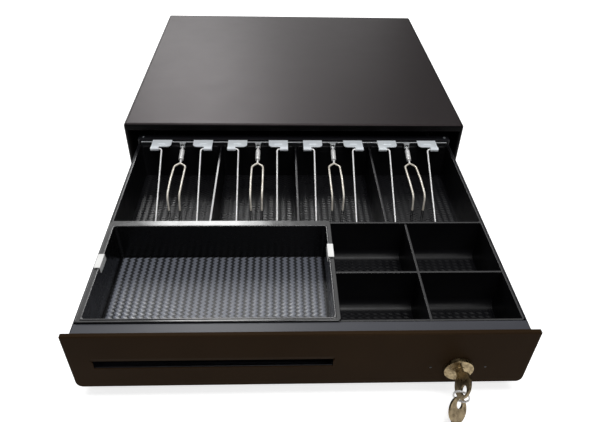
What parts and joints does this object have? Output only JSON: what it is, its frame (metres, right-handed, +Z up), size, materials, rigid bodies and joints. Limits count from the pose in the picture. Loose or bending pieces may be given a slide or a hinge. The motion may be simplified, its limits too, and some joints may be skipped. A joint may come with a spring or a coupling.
{
  "type": "cash drawer with pull-out till",
  "caption": "Counter cash drawer, pulled open, with a moulded till for notes and coins, spring clips, a lift-out box, a media slot and a key lock in its front panel",
  "frame": {"origin": "Middle of the whole open object's footprint, on the surface that the feet stand on", "axes": "+X right as seen from the front, +Y to the back (the drawer opens towards -Y), +Z up"},
  "size_m": [0.41, 0.7228, 0.1],
  "materials": {
    "housing_cover": "satin black powder coat, fine texture",
    "base_pan": "satin black powder coat",
    "front_crossbar": "satin black powder coat",
    "rubber_feet": "matt rubber",
    "cable_socket": "matt moulded plastic with gilt contacts",
    "slides": "zinc plated roll-formed steel",
    "latch_base": "zinc plated",
    "latch_pin": "ground",
    "solenoid_frame": "zinc plated",
    "solenoid_coil": "taped winding",
    "ejector_spring": "blued spring steel",
    "sense_switch": "matt",
    "drawer_body": "satin dark blue-grey paint",
    "front_panel": "satin brown-black powder coat",
    "media_chute": "satin black",
    "striker": "zinc plated, bright",
    "lock_barrel": "polished nickel-bronze",
    "lock_nut": "turned",
    "till_tray": "glossy moulded plastic",
    "clip_rail": "zinc plated",
    "bill_brackets": "zinc plated, bright, pressed",
    "lift_out_box": "glossy moulded plastic",
    "rim_tabs": "white label-like clips",
    "lock_plug": "polished",
    "lock_cam": "zinc plated",
    "key": "worn nickel silver",
    "key_ring": "bright",
    "spare_key": "worn nickel silver",
    "latch_lever": "zinc plated",
    "solenoid_plunger": "ground",
    "switch_button": "matt",
    "wires": "bright spring wire",
    "clips": "bright spring wire",
    "tips": "soft black sleeve"
  },
  "bodies": {
    "housing": {"housing_cover": "housing_cover", "base_pan": "base_pan", "front_crossbar": "front_crossbar", "rubber_feet": "rubber_feet", "cable_socket": "cable_socket", "slide_outer_left": "slides", "slide_outer_right": "slides", "latch_base": "latch_base", "latch_pin": "latch_pin", "solenoid_frame": "solenoid_frame", "solenoid_coil": "solenoid_coil", "ejector_spring": "ejector_spring", "sense_switch": "sense_switch"},
    "slide_left": {"slide_middle_left": "slides"},
    "slide_right": {"slide_middle_right": "slides"},
    "drawer": {"drawer_body": "drawer_body", "front_panel": "front_panel", "media_chute": "media_chute", "striker": "striker", "slide_inner_left": "slides", "slide_inner_right": "slides", "lock_barrel": "lock_barrel", "lock_nut": "lock_nut"},
    "till": {"till_tray": "till_tray", "clip_rail": "clip_rail", "bill_brackets": "bill_brackets"},
    "box": {"lift_out_box": "lift_out_box", "rim_tabs": "rim_tabs"},
    "lock": {"lock_plug": "lock_plug", "lock_cam": "lock_cam"},
    "key": {"key": "key"},
    "ring": {"key_ring": "key_ring"},
    "spare": {"spare_key": "spare_key"},
    "lever": {"latch_lever": "latch_lever"},
    "plunger": {"solenoid_plunger": "solenoid_plunger"},
    "button": {"switch_button": "switch_button"},
    "wire_1": {"bill_wire_1": "wires"},
    "wire_2": {"bill_wire_2": "wires"},
    "wire_3": {"bill_wire_3": "wires"},
    "wire_4": {"bill_wire_4": "wires"},
    "wire_5": {"bill_wire_5": "wires"},
    "wire_6": {"bill_wire_6": "wires"},
    "wire_7": {"bill_wire_7": "wires"},
    "wire_8": {"bill_wire_8": "wires"},
    "clip_1": {"bill_clip_1": "clips", "clip_tips_1": "tips"},
    "clip_2": {"bill_clip_2": "clips", "clip_tips_2": "tips"},
    "clip_3": {"bill_clip_3": "clips", "clip_tips_3": "tips"},
    "clip_4": {"bill_clip_4": "clips", "clip_tips_4": "tips"}
  },
  "joints": [
    {"name": "drawer_slide", "type": "slide", "parent": "housing", "child": "drawer", "axis": [0, -1, 0], "range_m": [-0.303, 0]},
    {"name": "slide_left", "type": "slide", "parent": "housing", "child": "slide_left", "axis": [0, -1, 0], "range_m": [-0.1515, 0]},
    {"name": "slide_right", "type": "slide", "parent": "housing", "child": "slide_right", "axis": [0, -1, 0], "range_m": [-0.1515, 0]},
    {"name": "till_lift", "type": "slide", "parent": "drawer", "child": "till", "axis": [0, 0, 1], "range_m": [0, 0.12]},
    {"name": "box_lift", "type": "slide", "parent": "till", "child": "box", "axis": [0, 0, 1], "range_m": [0, 0.1]},
    {"name": "wire_1_hinge", "type": "hinge", "parent": "till", "child": "wire_1", "pos_m": [-0.16675, -0.02486, 0.07822], "axis": [-1, 0, 0], "range_deg": [0, 75]},
    {"name": "wire_2_hinge", "type": "hinge", "parent": "till", "child": "wire_2", "pos_m": [-0.10475, -0.02486, 0.07822], "axis": [-1, 0, 0], "range_deg": [0, 75]},
    {"name": "wire_3_hinge", "type": "hinge", "parent": "till", "child": "wire_3", "pos_m": [-0.07625, -0.02486, 0.07822], "axis": [-1, 0, 0], "range_deg": [0, 75]},
    {"name": "wire_4_hinge", "type": "hinge", "parent": "till", "child": "wire_4", "pos_m": [-0.01425, -0.02486, 0.07822], "axis": [-1, 0, 0], "range_deg": [0, 75]},
    {"name": "wire_5_hinge", "type": "hinge", "parent": "till", "child": "wire_5", "pos_m": [0.01425, -0.02486, 0.07822], "axis": [-1, 0, 0], "range_deg": [0, 75]},
    {"name": "wire_6_hinge", "type": "hinge", "parent": "till", "child": "wire_6", "pos_m": [0.07625, -0.02486, 0.07822], "axis": [-1, 0, 0], "range_deg": [0, 75]},
    {"name": "wire_7_hinge", "type": "hinge", "parent": "till", "child": "wire_7", "pos_m": [0.10475, -0.02486, 0.07822], "axis": [-1, 0, 0], "range_deg": [0, 75]},
    {"name": "wire_8_hinge", "type": "hinge", "parent": "till", "child": "wire_8", "pos_m": [0.16675, -0.02486, 0.07822], "axis": [-1, 0, 0], "range_deg": [0, 75]},
    {"name": "clip_1_hinge", "type": "hinge", "parent": "till", "child": "clip_1", "pos_m": [-0.13575, -0.01436, 0.0741], "axis": [-1, 0, 0], "range_deg": [0, 50], "stiffness_Nm_per_rad": 0.05, "springref_deg": -57.3},
    {"name": "clip_2_hinge", "type": "hinge", "parent": "till", "child": "clip_2", "pos_m": [-0.04525, -0.01436, 0.0741], "axis": [-1, 0, 0], "range_deg": [0, 50], "stiffness_Nm_per_rad": 0.05, "springref_deg": -57.3},
    {"name": "clip_3_hinge", "type": "hinge", "parent": "till", "child": "clip_3", "pos_m": [0.04525, -0.01436, 0.0741], "axis": [-1, 0, 0], "range_deg": [0, 50], "stiffness_Nm_per_rad": 0.05, "springref_deg": -57.3},
    {"name": "clip_4_hinge", "type": "hinge", "parent": "till", "child": "clip_4", "pos_m": [0.13575, -0.01436, 0.0741], "axis": [-1, 0, 0], "range_deg": [0, 50], "stiffness_Nm_per_rad": 0.05, "springref_deg": -57.3},
    {"name": "lock_turn", "type": "hinge", "parent": "drawer", "child": "lock", "pos_m": [0.132, -0.30786, 0.0395], "axis": [0, 1, 0], "range_deg": [0, 90]},
    {"name": "key_pull", "type": "slide", "parent": "lock", "child": "key", "axis": [0, -1, 0], "range_m": [0, 0.028]},
    {"name": "ring_swing", "type": "hinge", "parent": "key", "child": "ring", "pos_m": [0.13111, -0.33026, 0.03706], "axis": [-0.9063, 0.4226, 0], "range_deg": [0, 50]},
    {"name": "spare_swing", "type": "hinge", "parent": "ring", "child": "spare", "pos_m": [0.13111, -0.33026, 0.02406], "axis": [-0.9063, 0.4226, 0], "range_deg": [0, 12]},
    {"name": "latch_turn", "type": "hinge", "parent": "housing", "child": "lever", "pos_m": [0, 0.33414, 0.02], "axis": [1, 0, 0], "range_deg": [0, 12], "stiffness_Nm_per_rad": 0.002, "springref_deg": -28.65},
    {"name": "plunger_rise", "type": "slide", "parent": "housing", "child": "plunger", "axis": [0, 0, 1], "range_m": [0, 0.0025], "stiffness_N_per_m": 150, "springref_m": -0.004},
    {"name": "button_press", "type": "slide", "parent": "housing", "child": "button", "axis": [0, 0, -1], "range_m": [0, 0.003]}
  ],
  "couplings": [
    {"joint": "slide_left", "follows": "drawer_slide", "ratio": 0.5},
    {"joint": "slide_right", "follows": "drawer_slide", "ratio": 0.5},
    {"joint": "latch_turn", "follows": "plunger_rise", "rad_per_m": 83.333},
    {"joint": "button_press", "follows": "plunger_rise", "ratio": 0.75}
  ]
}
